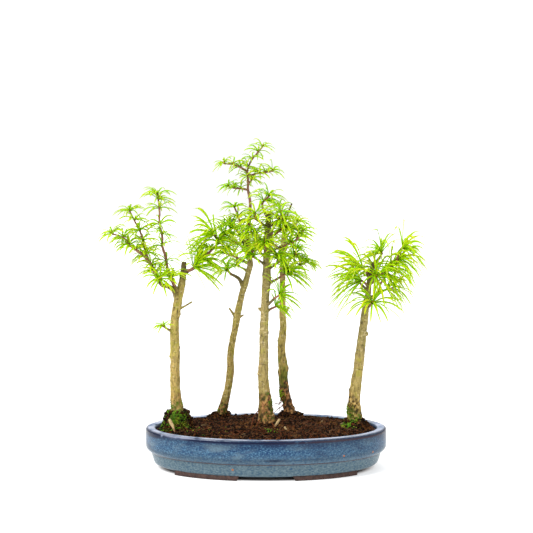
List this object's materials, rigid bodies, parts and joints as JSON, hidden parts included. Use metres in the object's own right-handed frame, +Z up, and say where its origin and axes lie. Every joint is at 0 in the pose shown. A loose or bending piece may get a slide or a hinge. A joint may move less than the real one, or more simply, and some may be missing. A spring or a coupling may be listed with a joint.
{
  "type": "golden larch forest bonsai",
  "caption": "Deciduous conifer forest bonsai: slender trunks with rosettes of soft needles, planted together in a shallow oval glazed pot on feet.",
  "frame": {"origin": "on the ground under the middle of the pot", "axes": "+X along the pot's length to the viewer's right, +Y from its front to its back, +Z up"},
  "size_m": [0.4793, 0.262, 0.4712],
  "materials": {
    "glaze": "glossy mottled blue glaze over brown clay, feet bare",
    "screen": "matt black",
    "peat": "moist dark brown peat, matt",
    "bark": "thin olive-tan bark, matt",
    "foliage": "fresh lime-green needles, satin"
  },
  "bodies": {
    "root": {"pot": "glaze", "left_drain_screen": "screen", "right_drain_screen": "screen", "soil": "peat", "left_trunk": "bark", "back_left_trunk": "bark", "centre_trunk": "bark", "back_right_trunk": "bark", "right_trunk": "bark", "left_low": "foliage", "left_tall": "foliage", "left_reach": "foliage", "left_spur": "foliage", "left_front": "foliage", "back_left_leader": "foliage", "back_left_bud": "foliage", "back_left_crown": "foliage", "back_left_west": "foliage", "back_left_twig": "foliage", "back_left_low": "foliage", "back_left_rear": "foliage", "back_left_mid": "foliage", "back_left_east": "foliage", "centre_top": "foliage", "centre_bud": "foliage", "centre_east": "foliage", "centre_reach": "foliage", "centre_west_high": "foliage", "centre_west": "foliage", "centre_west_low": "foliage", "centre_front": "foliage", "centre_mid": "foliage", "centre_disc": "foliage", "centre_low": "foliage", "centre_spur": "foliage", "centre_rear": "foliage", "centre_rear_low": "foliage", "back_right_top": "foliage", "back_right_reach": "foliage", "back_right_mid": "foliage", "back_right_high": "foliage", "back_right_west": "foliage", "back_right_rear": "foliage", "right_front": "foliage", "right_west_high": "foliage", "right_west": "foliage", "right_top": "foliage", "right_reach": "foliage", "right_low": "foliage", "right_rear": "foliage", "right_rear_west": "foliage"}
  },
  "joints": []
}
